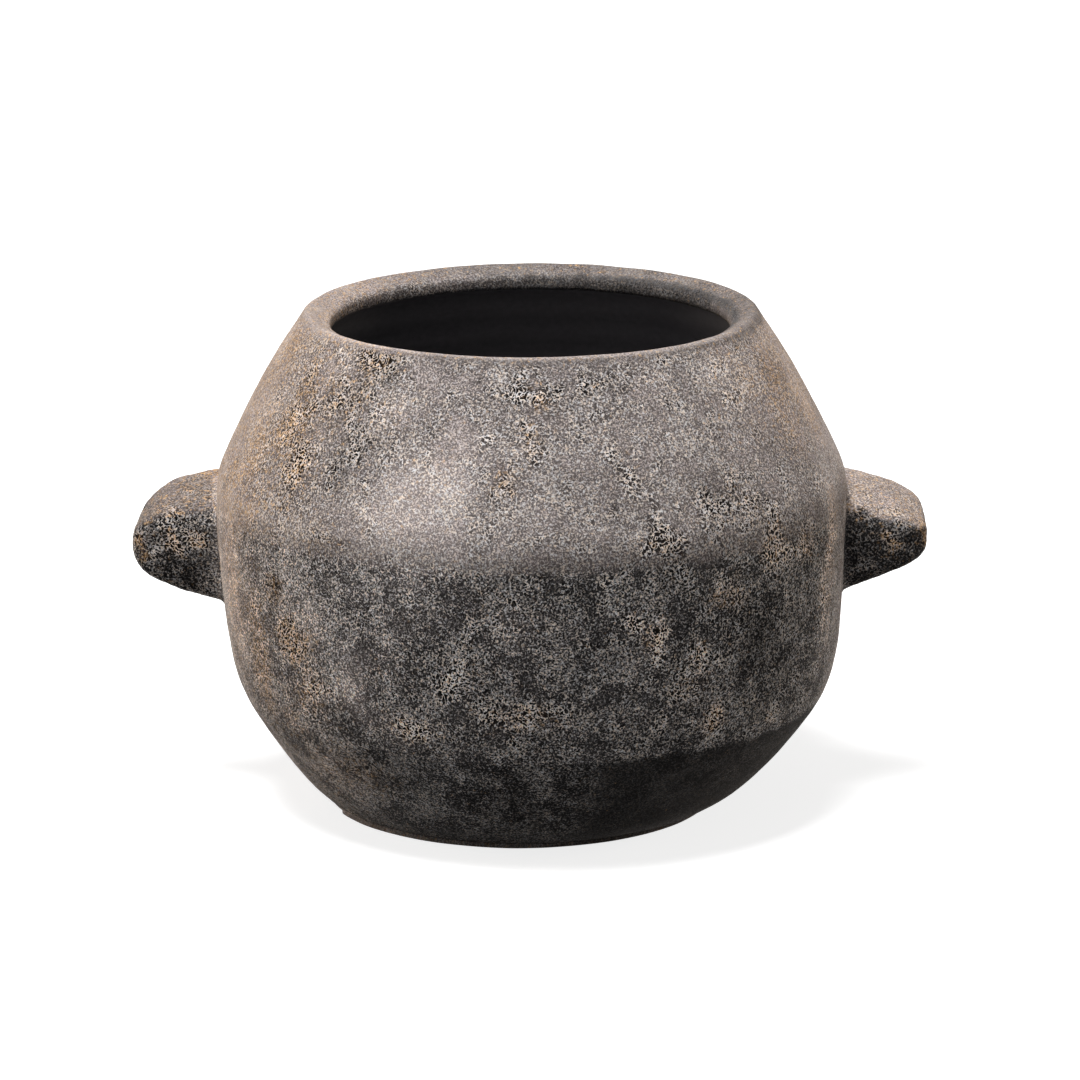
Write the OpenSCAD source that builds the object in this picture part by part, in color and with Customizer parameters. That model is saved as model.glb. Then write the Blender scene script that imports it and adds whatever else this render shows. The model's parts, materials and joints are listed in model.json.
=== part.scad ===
// Round-bellied clay pot with a rolled rim and two lug handles.
// Millimetres, +Z up. The origin is the centre of the foot's underside.
// The front faces -Y, and the lugs lie along X.
// The wall's outside is one smooth line through a few control points. The
// pieces of clay are cut from it where its corners show, and each seam is a
// groove in the lower piece and a matching ridge on the upper one.

/* [Foot and floor] */
// Outer diameter of the foot ring
foot_d = 199; // [186:1:203]
// Height of the foot ring
foot_h = 3; // [2:0.5:5]
// Width of the foot ring's standing face
foot_land_w = 15; // [11:1:22]
// Bevel round the foot ring's lower edge
foot_bevel = 0.8; // [0.3:0.1:1.5]
// How far the bowl's lower edge stands out past the foot ring
bowl_overhang = 3; // [1:0.5:5]
// Thickness of the floor slab
floor_t = 10; // [8:0.5:13]
// How far the floor slab rests on the foot ring
floor_seat_w = 5.5; // [4:0.5:9]
// Size of the soft curve between floor and wall inside
floor_fillet = 7; // [4:0.5:9]

/* [Profile] */
// Diameter at the lower corner of the profile
lower_corner_d = 299.6; // [290:0.2:310]
// Height of the lower corner
lower_corner_z = 59.6; // [52:0.2:68]
// Softness of the lower corner, as a length along each side
lower_corner_soft = 11; // [7:0.5:14]
// Diameter at the shoulder corner
shoulder_d = 317.8; // [312:0.2:326]
// Height of the shoulder corner
shoulder_z = 168.9; // [162:0.1:176]
// Softness of the shoulder corner, as a length along each side
shoulder_soft = 8; // [6:0.5:12]
// Height where the shoulder meets the rim ring
neck_z = 244; // [240:0.5:248]
// How far the bowl bows out from a straight line
bowl_bulge = 3; // [1:0.1:5]
// How far the belly bows out from a straight line
belly_bulge = 3.1; // [1:0.1:5]
// How far the shoulder bows out from a straight line
shoulder_bulge = 2; // [0.5:0.1:4]
// Thickness of the wall
wall_t = 9; // [7:0.5:11]
// Depth of the groove that locks each seam
seam_depth = 3; // [1.5:0.5:4]

/* [Rim] */
// Clear diameter of the mouth
mouth_d = 201; // [190:0.5:212]
// Width of the rim ring, from the mouth to its outer edge
rim_w = 18.1; // [16:0.1:20]
// How far the rim's peak rises above the shoulder, before it is softened
rim_rise = 9.4; // [8:0.2:12]
// How far the rim's peak lies inside its outer edge
rim_peak_in = 6.1; // [5:0.1:7.5]
// How far the rim's top falls from its peak to its inner edge
rim_fall = 6; // [3:0.2:8]
// Height of the rim ring, from its peak to its lower inner edge
rim_lip_h = 13; // [10.5:0.2:15]
// Softness of the rim's peak
rim_peak_soft = 4; // [2:0.2:5]
// Softness of the rim's inner edge
rim_edge_soft = 3; // [1:0.2:3.6]
// Softness of the rim's lower inner edge
rim_lip_soft = 2; // [1:0.2:3]

/* [Lugs] */
// Distance that each lug stands out from the shoulder corner
lug_reach = 42.2; // [34:0.1:50]
// Width of each lug at its root
lug_w = 50; // [40:1:56]
// Distance of the lugs' middle behind the pot's middle plane
lug_setback = 13; // [6:0.5:16]
// Distance of the left lug's middle line below the shoulder corner
left_lug_drop = 35.4; // [32:0.2:42]
// Height of the left lug's root above its middle line
left_lug_above = 25.1; // [20:0.1:29]
// Height of the left lug's root below its middle line
left_lug_below = 28.8; // [24:0.1:34]
// How far the left lug's tip droops
left_lug_droop = 2.8; // [0:0.2:8]
// Distance of the right lug's middle line below the shoulder corner
right_lug_drop = 28.6; // [26:0.2:36]
// Height of the right lug's root above its middle line
right_lug_above = 20.1; // [16:0.1:23]
// Height of the right lug's root below its middle line
right_lug_below = 31.5; // [24:0.1:36]
// How far the right lug's tip droops
right_lug_droop = 2.4; // [0:0.2:8]
// Size of the smoothed clay round each lug's root
lug_flare = 1.6; // [1:0.2:4]
// Distance along the lug that the smoothed clay takes
lug_flare_run = 7; // [5:0.5:12]

/* [Hidden] */
$fn = 120;

clay_grey = [0.42, 0.39, 0.36];
clay_dark = [0.27, 0.26, 0.25];
clay_warm = [0.50, 0.45, 0.40];

foot_r = foot_d / 2;
land_in_r = foot_r - foot_land_w;
floor_r = land_in_r + floor_seat_w;
floor_z = foot_h + floor_t;

// Control points of the outside, as [radius, height]
bowl_start = [foot_r + bowl_overhang, foot_h];
lower_corner = [lower_corner_d / 2, lower_corner_z];
shoulder_corner = [shoulder_d / 2, shoulder_z];
neck = [mouth_d / 2 + rim_w, neck_z];

// Where each bulge is fullest, as a share of its stretch
bowl_full_share = 0.27;
belly_full_share = 0.35;
shoulder_full_share = 0.67;

// Segments in a long stretch and in half of a corner
stretch_steps = 10;
corner_steps = 3;

// Point at a distance from a towards b
function toward(a, b, distance) = a + (b - a) * distance / norm(b - a);

// Quadratic curve from a to b, pulled towards c, without its first point
function curve(a, c, b, steps) =
    [for (i = [1:steps]) let (t = i / steps) (1 - t) ^ 2 * a + 2 * t * (1 - t) * c + t ^ 2 * b];

// Control point that bows the line from a to b outwards by a bulge
function bowed(a, b, bulge, share) =
    let (along = (b - a) / norm(b - a))
    a + (b - a) * share + 2 * bulge * [along[1], -along[0]];

// Soft corner at c, with a point exactly at its middle
function soft_corner(before, c, after, reach, steps) =
    curve(toward(c, before, reach), c, toward(c, after, reach), 2 * steps);

// The stretch of a list of points from one index to another
function slice(points, first, last) = [for (i = [first:last]) points[i]];
function backwards(points) = [for (i = [len(points) - 1:-1:0]) points[i]];

// The same line, moved inwards by a thickness
function inset(points, thickness) =
    [for (i = [0:len(points) - 1])
        let (ahead = points[min(i + 1, len(points) - 1)])
        let (behind = points[max(i - 1, 0)])
        let (along = (ahead - behind) / norm(ahead - behind))
        points[i] - thickness * [along[1], -along[0]]];

bowl_pull = bowed(bowl_start, lower_corner, bowl_bulge, bowl_full_share);
belly_pull = bowed(lower_corner, shoulder_corner, belly_bulge, belly_full_share);
shoulder_pull = bowed(shoulder_corner, neck, shoulder_bulge, shoulder_full_share);

outside = concat(
    [bowl_start],
    curve(bowl_start, bowl_pull, toward(lower_corner, bowl_pull, lower_corner_soft),
          stretch_steps),
    soft_corner(bowl_pull, lower_corner, belly_pull, lower_corner_soft, corner_steps),
    curve(toward(lower_corner, belly_pull, lower_corner_soft), belly_pull,
          toward(shoulder_corner, belly_pull, shoulder_soft), stretch_steps),
    soft_corner(belly_pull, shoulder_corner, shoulder_pull, shoulder_soft, corner_steps),
    curve(toward(shoulder_corner, shoulder_pull, shoulder_soft), shoulder_pull, neck,
          stretch_steps)
);
inside = inset(outside, wall_t);

// Places of the two seams along that line: the middles of its corners
low_seam = stretch_steps + corner_steps;
high_seam = low_seam + stretch_steps + 2 * corner_steps;
top_seam = len(outside) - 1;

// Bottom of the groove in a seam of the wall
function seam_point(i) =
    let (along = outside[i] - outside[i - 1])
    (outside[i] + inside[i]) / 2 - seam_depth * along / norm(along);

// Outline of the wall between two seams
function wall_between(low, high) = concat(
    slice(outside, low, high),
    [seam_point(high)],
    backwards(slice(inside, low, high)),
    [seam_point(low)]
);

module turned(outline) {
    rotate_extrude() polygon(outline);
}

// Everything inside the wall's outer surface
module body_envelope() {
    turned(concat([[0, foot_h]], outside, [[0, neck_z]]));
}

module foot_ring() {
    color(clay_dark)
        turned([
            [land_in_r, 0],
            [foot_r - foot_bevel, 0],
            [foot_r, foot_bevel],
            [foot_r, foot_h],
            [land_in_r, foot_h]
        ]);
}

module floor_disc() {
    color(clay_dark)
        turned([
            [0, foot_h],
            [floor_r, foot_h],
            [floor_r + seam_depth, foot_h + floor_t / 2],
            [floor_r, floor_z],
            [0, floor_z]
        ]);
}

module lower_bowl() {
    fillet_top = floor_z + floor_fillet;
    inner_wall = [for (p = slice(inside, 0, low_seam)) if (p[1] > fillet_top) p];
    fillet_corner = toward(inner_wall[0], inner_wall[1], -floor_fillet);
    floor_corner = [fillet_corner[0], floor_z];
    color(clay_dark)
        turned(concat(
            slice(outside, 0, low_seam),
            [seam_point(low_seam)],
            backwards(inner_wall),
            curve(inner_wall[0], floor_corner, [floor_r, floor_z], stretch_steps),
            [[floor_r + seam_depth, foot_h + floor_t / 2]],
            [[floor_r, foot_h]]
        ));
}

module belly_band() {
    color(clay_grey) turned(wall_between(low_seam, high_seam));
}

module shoulder() {
    color(clay_warm) turned(wall_between(high_seam, top_seam));
}

module rim_ring() {
    peak = neck + [-rim_peak_in, rim_rise];
    inner_edge = [mouth_d / 2, peak[1] - rim_fall];
    lip = [mouth_d / 2, peak[1] - rim_lip_h];
    color(clay_warm)
        turned(concat(
            [neck],
            soft_corner(neck, peak, inner_edge, rim_peak_soft, corner_steps),
            soft_corner(peak, inner_edge, lip, rim_edge_soft, corner_steps),
            soft_corner(inner_edge, lip, inside[top_seam], rim_lip_soft, corner_steps),
            [inside[top_seam]],
            [seam_point(top_seam)]
        ));
}

// Lug: rings stand along X from inside the wall to the tip
lug_rings = 14;
// How far a lug's raw shape runs into the pot before the wall cuts it
lug_overrun = 40;
lug_sides = 28;
// Squareness of a lug's cross-section, where 2 is an ellipse
lug_squareness = 4.4;
// Rise of a lug's top from front to back, as a share of the distance
lug_lean_share = 0.21;
// Narrowing of each lug's width, top and bottom from its root to its tip
left_lug_w_taper_share = 0.27;
left_lug_top_taper_share = 0.13;
left_lug_bottom_taper_share = 0.31;
right_lug_w_taper_share = 0.02;
right_lug_top_taper_share = 0.5;
right_lug_bottom_taper_share = 0.57;
// How blunt the tips are, seen from above and from the front, where 2 is round
lug_w_bluntness = 4.9;
left_lug_bluntness = 2.8;
right_lug_bluntness = 4.2;

function power(value, exponent) = sign(value) * abs(value) ^ exponent;

// Size of a lug at a share of its reach, where the root is 1
function tip_shape(share, taper_share, bluntness) =
    (1 - taper_share * share) * (1 - share ^ bluntness) ^ (1 / bluntness);

// The smoothed clay's extra size at a distance from the root
function flare_at(distance) =
    lug_flare * max(0, 1 - max(0, distance) / lug_flare_run) ^ 2;

function lug_ring(x, middle_z, half_w, above, below) =
    [for (i = [0:lug_sides - 1])
        let (angle = 360 * i / lug_sides)
        let (y = half_w * power(cos(angle), 2 / lug_squareness))
        let (half_h = sin(angle) > 0 ? above : below)
        let (z = half_h * power(sin(angle), 2 / lug_squareness))
        [x, y + lug_setback, middle_z + z + lug_lean_share * y]];

module lug(drop, above, below, droop, w_taper_share, top_taper_share, bottom_taper_share,
           bluntness) {
    root_x = shoulder_d / 2;
    middle_z = shoulder_z - drop;
    shares = [for (i = [0:lug_rings - 1]) sin(90 * i / lug_rings)];
    rings = concat(
        [lug_ring(root_x - lug_overrun, middle_z, lug_w / 2 + lug_flare, above + lug_flare,
                  below + lug_flare)],
        [for (share = shares)
            let (extra = flare_at(lug_reach * share))
            lug_ring(
                root_x + lug_reach * share,
                middle_z - droop * share ^ 2,
                lug_w / 2 * tip_shape(share, w_taper_share, lug_w_bluntness) + extra,
                above * tip_shape(share, top_taper_share, bluntness) + extra,
                below * tip_shape(share, bottom_taper_share, bluntness) + extra
            )]
    );
    tip = [root_x + lug_reach, lug_setback, middle_z - droop];
    points = concat([for (ring = rings) each ring], [tip]);
    count = len(rings);
    tip_index = count * lug_sides;
    faces = concat(
        [[for (i = [0:lug_sides - 1]) i]],
        [for (r = [0:count - 2], i = [0:lug_sides - 1])
            let (next = (i + 1) % lug_sides)
            each [
                [r * lug_sides + i, (r + 1) * lug_sides + i, (r + 1) * lug_sides + next],
                [r * lug_sides + i, (r + 1) * lug_sides + next, r * lug_sides + next]
            ]],
        [for (i = [0:lug_sides - 1])
            [(count - 1) * lug_sides + i, tip_index,
             (count - 1) * lug_sides + (i + 1) % lug_sides]]
    );
    difference() {
        polyhedron(points, faces);
        body_envelope();
    }
}

module left_lug() {
    color(clay_grey)
        mirror([1, 0, 0])
            lug(left_lug_drop, left_lug_above, left_lug_below, left_lug_droop,
                left_lug_w_taper_share, left_lug_top_taper_share,
                left_lug_bottom_taper_share, left_lug_bluntness);
}

module right_lug() {
    color(clay_grey)
        lug(right_lug_drop, right_lug_above, right_lug_below, right_lug_droop,
            right_lug_w_taper_share, right_lug_top_taper_share,
            right_lug_bottom_taper_share, right_lug_bluntness);
}

foot_ring();
floor_disc();
lower_bowl();
belly_band();
shoulder();
rim_ring();
left_lug();
right_lug();
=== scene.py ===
"""Looks for the two-handled round clay pot.

Every CAD node is replaced by a finer mesh of the same piece. All pieces share one
uneven, hand-thrown surface, so their seams still meet face to face. Lengths are
millimetres, as in the part's source, until make_piece() turns them into metres.
The floor, the lamps and the camera are given in metres. Azimuths are degrees
round the pot from +X, and the camera looks at azimuth -90.
"""

import functools
import json
import math

import bpy
import numpy as np
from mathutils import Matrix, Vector, noise


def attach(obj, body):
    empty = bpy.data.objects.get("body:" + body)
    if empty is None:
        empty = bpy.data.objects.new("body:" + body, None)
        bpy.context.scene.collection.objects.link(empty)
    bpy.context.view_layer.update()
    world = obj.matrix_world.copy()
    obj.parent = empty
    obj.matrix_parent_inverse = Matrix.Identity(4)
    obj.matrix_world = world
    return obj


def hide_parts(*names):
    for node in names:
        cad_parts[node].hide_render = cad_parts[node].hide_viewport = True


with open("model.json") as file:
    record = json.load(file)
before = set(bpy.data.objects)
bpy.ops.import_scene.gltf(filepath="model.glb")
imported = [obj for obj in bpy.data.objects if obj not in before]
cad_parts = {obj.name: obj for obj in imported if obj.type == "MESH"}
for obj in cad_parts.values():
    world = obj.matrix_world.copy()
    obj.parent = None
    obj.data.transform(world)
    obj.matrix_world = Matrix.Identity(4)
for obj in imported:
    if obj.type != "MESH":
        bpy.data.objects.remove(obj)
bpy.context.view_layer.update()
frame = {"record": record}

SLOTS = {part["node"]: part["material_slot"] for part in frame["record"]["subparts"]}
MM = 0.001
FULL_TURN = 2 * math.pi

# Sizes, as in the part's source
FOOT_R = 99.5
FOOT_H = 3.0
FOOT_LAND_W = 15.0
FOOT_BEVEL = 0.8
BOWL_OVERHANG = 3.0
FLOOR_T = 10.0
FLOOR_SEAT_W = 5.5
FLOOR_FILLET = 7.0
WALL_T = 9.0
SEAM_DEPTH = 3.0
MOUTH_R = 100.5
RIM_W = 18.1
NECK_Z = 244.0
RIM_RISE = 9.4
RIM_PEAK_IN = 6.1
RIM_FALL = 6.0
RIM_LIP_H = 13.0
RIM_PEAK_SOFT = 4.0
RIM_EDGE_SOFT = 3.0
RIM_LIP_SOFT = 2.0

# The wall's two corners, as radius and height, and how far each is rounded
LOWER_CORNER = np.array([149.8, 59.6])
LOWER_SOFT = 11.0
SHOULDER_CORNER = np.array([158.9, 168.9])
SHOULDER_SOFT = 8.0
# How far each stretch of the wall bulges out, and where along it the bulge is fullest
BOWL_BULGE, BOWL_FULL = 3.0, 0.27
BELLY_BULGE, BELLY_FULL = 3.1, 0.35
SHOULDER_BULGE, SHOULDER_FULL = 2.0, 0.67

FLOOR_R = FOOT_R - FOOT_LAND_W + FLOOR_SEAT_W
FLOOR_Z = FOOT_H + FLOOR_T
LAND_IN_R = FOOT_R - FOOT_LAND_W
BOWL_EDGE = np.array([FOOT_R + BOWL_OVERHANG, FOOT_H])
NECK = np.array([MOUTH_R + RIM_W, NECK_Z])

# Sizes that only the looks have
FOOT_TOP_BEVEL = 0.6
FOOT_SOFT = 1.2 * FOOT_BEVEL
LAND_BEVEL = 0.5
BOWL_EDGE_SOFT = 1.4

# How fine the mesh is
SIDES = 384          # round the pot
STRETCH = 26         # rows in a long stretch of the wall
CORNER = 8           # rows in half a corner
EDGE_STEPS = 3       # rows in half of the bowl's lower edge
EDGE_ROWS = 2        # rows of the wall that the edge's rounding takes the place of
INNER_STEP = 2       # the inside has every second row of the outside
RIM_SPACING = 1.6
FLOOR_SPACING = 5.0
LAND_RUNS = (4.0, 10.0)              # rows of the foot's standing face, from its inside
UNDER_FROM, UNDER_ROWS = 6.0, 15     # rows of the floor's underside


# Profile, as [radius, height] points
def toward(a, b, distance):
    return a + (b - a) * distance / np.linalg.norm(b - a)


def curve(a, c, b, steps):
    """Curve from a to b that leans towards c. Its first point, a, is left out."""
    t = (np.arange(1, steps + 1) / steps)[:, None]
    return (1 - t) ** 2 * a + 2 * t * (1 - t) * c + t**2 * b


def bowed(a, b, bulge, full):
    """The point that a stretch from a to b leans towards."""
    along = (b - a) / np.linalg.norm(b - a)
    return a + (b - a) * full + 2 * bulge * np.array([along[1], -along[0]])


def soft_corner(before, corner, after, reach, steps):
    return curve(toward(corner, before, reach), corner, toward(corner, after, reach), 2 * steps)


def arc_length(points):
    return np.r_[0, np.cumsum(np.linalg.norm(np.diff(points, axis=0), axis=1))]


def inset(points, thickness):
    along = np.gradient(points, arc_length(points), axis=0)
    along /= np.linalg.norm(along, axis=1)[:, None]
    return points - thickness * np.c_[along[:, 1], -along[:, 0]]


def fill(points, spacing):
    """The same line, with points added where two lie further apart than the spacing."""
    out = [points[0]]
    for a, b in zip(points, points[1:]):
        n = max(1, math.ceil(np.linalg.norm(b - a) / spacing))
        out += [a + (b - a) * k / n for k in range(1, n + 1)]
    return np.array(out)


def make_wall():
    """The wall's outside, from the bowl's lower edge up to the neck."""
    bowl = bowed(BOWL_EDGE, LOWER_CORNER, BOWL_BULGE, BOWL_FULL)
    belly = bowed(LOWER_CORNER, SHOULDER_CORNER, BELLY_BULGE, BELLY_FULL)
    shoulder = bowed(SHOULDER_CORNER, NECK, SHOULDER_BULGE, SHOULDER_FULL)
    return np.vstack([
        BOWL_EDGE,
        curve(BOWL_EDGE, bowl, toward(LOWER_CORNER, bowl, LOWER_SOFT), STRETCH),
        soft_corner(bowl, LOWER_CORNER, belly, LOWER_SOFT, CORNER),
        curve(toward(LOWER_CORNER, belly, LOWER_SOFT), belly,
              toward(SHOULDER_CORNER, belly, SHOULDER_SOFT), 2 * STRETCH),
        soft_corner(belly, SHOULDER_CORNER, shoulder, SHOULDER_SOFT, CORNER),
        curve(toward(SHOULDER_CORNER, shoulder, SHOULDER_SOFT), shoulder, NECK, STRETCH + CORNER),
    ])


def make_rim(inner_neck):
    """Rows over the rim, from the neck to the inside of the wall."""
    peak = NECK + [-RIM_PEAK_IN, RIM_RISE]
    inner_edge = np.array([MOUTH_R, peak[1] - RIM_FALL])
    lip = np.array([MOUTH_R, peak[1] - RIM_LIP_H])
    return fill(np.vstack([
        NECK,
        soft_corner(NECK, peak, inner_edge, RIM_PEAK_SOFT, CORNER),
        soft_corner(peak, inner_edge, lip, RIM_EDGE_SOFT, CORNER),
        soft_corner(inner_edge, lip, inner_neck, RIM_LIP_SOFT, CORNER // 2),
        inner_neck,
    ]), RIM_SPACING)[1:]


def make_profile():
    """One line from the bowl's lower edge, up the outside, over the rim, down the inside and
    along the floor to its middle, with the rows where the pieces meet."""
    low = STRETCH + CORNER
    high = low + 2 * STRETCH + 2 * CORNER
    top = len(WALL) - 1
    inner = inset(WALL, WALL_T)

    edge = soft_corner(np.array([FLOOR_R, FOOT_H]), BOWL_EDGE, WALL[EDGE_ROWS],
                       BOWL_EDGE_SOFT, EDGE_STEPS)
    shift = len(edge) - EDGE_ROWS
    rim = make_rim(inner[top])

    inner_wall = np.array([inner[k] for k in range(top - INNER_STEP, 0, -INNER_STEP)
                           if inner[k][1] > FLOOR_Z + FLOOR_FILLET])
    corner_r = toward(inner_wall[-1], inner_wall[-2], -FLOOR_FILLET)[0]
    seat = np.array([FLOOR_R, FLOOR_Z])
    fillet = curve(inner_wall[-1], np.array([corner_r, FLOOR_Z]), seat, CORNER)
    floor = fill(np.array([seat, [0.0, FLOOR_Z]]), FLOOR_SPACING)[1:]

    marks = {"low": low + shift, "high": high + shift, "neck": top + shift}
    marks["inner_neck"] = marks["neck"] + len(rim)
    marks["inner_high"] = marks["inner_neck"] + (top - high) // INNER_STEP
    marks["inner_low"] = marks["inner_neck"] + (top - low) // INNER_STEP
    marks["floor"] = marks["inner_neck"] + len(inner_wall) + len(fillet)
    return np.vstack([edge, WALL[EDGE_ROWS:], rim, inner_wall, fillet, floor]), marks


WALL = make_wall()
PROFILE, AT = make_profile()


def body_radius(z):
    """Radius of the wall's outside at a height."""
    return np.interp(z, WALL[:, 1], WALL[:, 0])


# The potter's hand
# Where the pot's middle lies at each height, left or right of its axis
LEAN = np.array([
    [0, -6.7], [3, -5.2], [6, -3.8], [10, -2.7], [18, -1.5], [30, 0.0], [43, 0.8], [60, 1.3],
    [85, 1.3], [98, 0.9], [120, 0.3], [140, -0.2], [176, 0.25], [218, 0.25], [232, 0.0],
    [254, -0.5],
])
# Waves round the pot: how many, how deep and where they start
WAVES = ((2, 0.45, 0.7), (3, 0.30, 2.0))
# Lumps, in rows of strength, size and seed
SURFACE_LUMPS = ((0.60, 60, 1), (0.32, 24, 2), (0.13, 9, 3))
TURN_LUMPS = (0.8, 40, 4)
RIM_LUMPS = (0.25, 16, 5)
SEED_STEP = np.array([7.3, 3.1, 5.7])
EVEN_R = 60.0        # inside this radius the unevenness fades out
# Throwing marks on the inside, and their traces on the outside
RING_DEPTH, RING_PITCH, RING_SLANT = 0.35, 11.0, 0.5
TRACE_DEPTH, TRACE_PITCH = 0.02, 6.3
# The bowl's clay lies further in above the foot, between two heights, most at the overhang
DRAWN_BELOW = (12.0, 3.0)
DRAWN_IN, OVERHANG_IN = 0.4, 0.8
# The foot's side stands out, but for an end of clay on the left that stops in a small step
FOOT_SIDE = (FOOT_R - 4.0, FOOT_R - 1.0)
FOOT_OUT, FOOT_END_IN = 0.9, 2.2
FOOT_END, FOOT_STEP = (150.0, 190.0), (206.5, 203.5)
# The rim tilts up to the right, more and more between two heights
TILT_FROM = (205.0, 250.0)
TILT, TILT_R = 0.7, 115.0


def portion(value, start, end):
    """How far a value is on its way from start to end, from 0 to 1."""
    return np.clip((value - start) / (end - start), 0, 1)


def smooth(value, start, end):
    """The same with a soft start and end."""
    t = portion(value, start, end)
    return t * t * (3 - 2 * t)


def lumps(points, *rows):
    """Smooth noise at points. Each row is its strength, the size of its lumps and a seed."""
    total = 0
    for strength, size, seed in rows:
        at = points / size + seed * SEED_STEP
        values = [noise.noise(Vector(p)) for p in at.reshape(-1, 3)]
        total = total + strength * np.array(values).reshape(points.shape[:-1])
    return total


def wandering_turn(points):
    """Azimuth in radians, with noise. The throwing marks wind up the pot along it."""
    return np.arctan2(points[..., 1], points[..., 0]) + lumps(points, TURN_LUMPS)


def throwing_rings(z, radius, turn):
    """Rings that the potter's fingers leave, from -1 to 1."""
    return np.sin(FULL_TURN * (z + (radius - FLOOR_R) * RING_SLANT) / RING_PITCH + turn)


def handmade(points, inner=0.0):
    """Moves points of the true shape to where the hand-thrown surface lies."""
    x, y, z = points[..., 0], points[..., 1], points[..., 2]
    radius = np.hypot(x, y)
    around = np.arctan2(y, x)
    push = sum(depth * np.cos(count * around + start) for count, depth, start in WAVES)
    push = push + lumps(points, *SURFACE_LUMPS)
    turn = wandering_turn(points)
    push = push + (1 - inner) * TRACE_DEPTH * np.sin(FULL_TURN * z / TRACE_PITCH + turn)
    push = push + inner * RING_DEPTH * throwing_rings(z, radius, turn)
    overhang = portion(radius, FOOT_R, FOOT_R + BOWL_OVERHANG)
    push = push - portion(z, *DRAWN_BELOW) * (DRAWN_IN + OVERHANG_IN * overhang)
    azimuth = np.degrees(around) % 360
    foot_side = portion(z, FOOT_H, FOOT_H - FOOT_TOP_BEVEL) * portion(radius, *FOOT_SIDE)
    foot_end = portion(azimuth, *FOOT_END) * portion(azimuth, *FOOT_STEP)
    push = push + foot_side * (FOOT_OUT - FOOT_END_IN * foot_end)
    push = push * portion(radius, 0, EVEN_R)
    out = np.array(points, float)
    out[..., 0] += push * np.cos(around) + np.interp(z, LEAN[:, 0], LEAN[:, 1])
    out[..., 1] += push * np.sin(around)
    out[..., 2] += portion(z, *TILT_FROM) * (TILT * x / TILT_R + lumps(points, RIM_LUMPS))
    return out


def turned(rows):
    """Points of a profile turned round the axis, as rows by sides."""
    rows = np.asarray(rows, float)
    turn = np.arange(SIDES) / SIDES * FULL_TURN
    ring = np.stack([np.cos(turn), np.sin(turn)], -1)
    return np.concatenate([
        rows[:, None, :1] * ring[None],
        np.broadcast_to(rows[:, None, 1:], (len(rows), SIDES, 1)),
    ], -1)


def grid_normals(grid):
    along = np.gradient(grid, arc_length(grid[:, 0]), axis=0)
    across = np.roll(grid, -1, 1) - np.roll(grid, 1, 1)
    normal = np.cross(across, along)
    return normal / np.maximum(np.linalg.norm(normal, axis=-1, keepdims=True), 1e-12)


INNER = (np.arange(len(PROFILE)) >= AT["inner_neck"]).astype(float)
SKIN = handmade(turned(PROFILE), INNER[:, None])
SKIN_NORMALS = grid_normals(SKIN)
SKIN_NORMALS[-1] = (0, 0, 1)

# Mesh builders
RING_SHARP, LUG_SHARP = 38, 60      # degrees from which an edge stays sharp


def make_piece(node, verts, faces, sharp, normals=None):
    """Makes the closed piece that stands for a node. Normals are one per corner, and zeros are
    worked out."""
    name = node + "_clay"
    mesh = bpy.data.meshes.new(name)
    mesh.from_pydata((np.asarray(verts) * MM).tolist(), [], faces)
    mesh.validate()
    mesh.shade_smooth()
    mesh.set_sharp_from_angle(angle=math.radians(sharp))
    if normals is not None:
        mesh.normals_split_custom_set(normals)
    obj = bpy.data.objects.new(name, mesh)
    bpy.context.scene.collection.objects.link(obj)
    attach(obj, "root")
    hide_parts(node)
    return obj


def ring_piece(node, loop, closed=True):
    """Solid of revolution. Its loop holds row numbers of the shared skin and [radius, height]
    points of its own, in order with the clay on the left. A point on the axis is one vertex."""
    verts, rings, rows = [], [], []
    for item in loop:
        row = item if isinstance(item, int) else None
        radius = item[0] if row is None else PROFILE[row][0]
        ring = handmade(turned([item]))[0] if row is None else SKIN[row]
        first = len(verts)
        if radius == 0:
            verts.append(ring.mean(0))
            rings.append([first] * SIDES)
        else:
            verts.extend(ring)
            rings.append(range(first, first + SIDES))
        rows.append(row)
    faces, normals = [], []
    for a in range(len(rings) if closed else len(rings) - 1):
        b = (a + 1) % len(rings)
        on_skin = rows[a] is not None and rows[b] is not None and abs(rows[a] - rows[b]) == 1
        for s in range(SIDES):
            t = (s + 1) % SIDES
            face = []
            for ring, side in ((a, s), (a, t), (b, t), (b, s)):
                vertex = rings[ring][side]
                if vertex not in face:
                    face.append(vertex)
                    normals.append(SKIN_NORMALS[rows[ring], side] if on_skin else (0, 0, 0))
            faces.append(face)
    return make_piece(node, verts, faces, RING_SHARP, normals)


def seam_tip(outer_row, inner_row):
    """Bottom of the groove between two pieces of the wall."""
    outer, inner = PROFILE[outer_row], PROFILE[inner_row]
    back = PROFILE[outer_row - 1] - outer
    return (outer + inner) / 2 + SEAM_DEPTH * back / np.linalg.norm(back)


def between(first, last):
    """Row numbers from the first to the last, up or down."""
    step = 1 if last >= first else -1
    return list(range(first, last + step, step))


def foot_loop():
    """Outline of the foot ring."""
    outer_edge = np.array([FOOT_R, FOOT_H - FOOT_TOP_BEVEL])
    return list(np.vstack([
        [[LAND_IN_R + run, 0] for run in (LAND_BEVEL, *LAND_RUNS)],
        soft_corner(np.array([LAND_IN_R, 0.0]), np.array([FOOT_R, 0.0]), outer_edge,
                    FOOT_SOFT, CORNER // 2),
        outer_edge, [FOOT_R - FOOT_TOP_BEVEL, FOOT_H], [LAND_IN_R, FOOT_H],
        [LAND_IN_R, LAND_BEVEL],
    ]))


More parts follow.
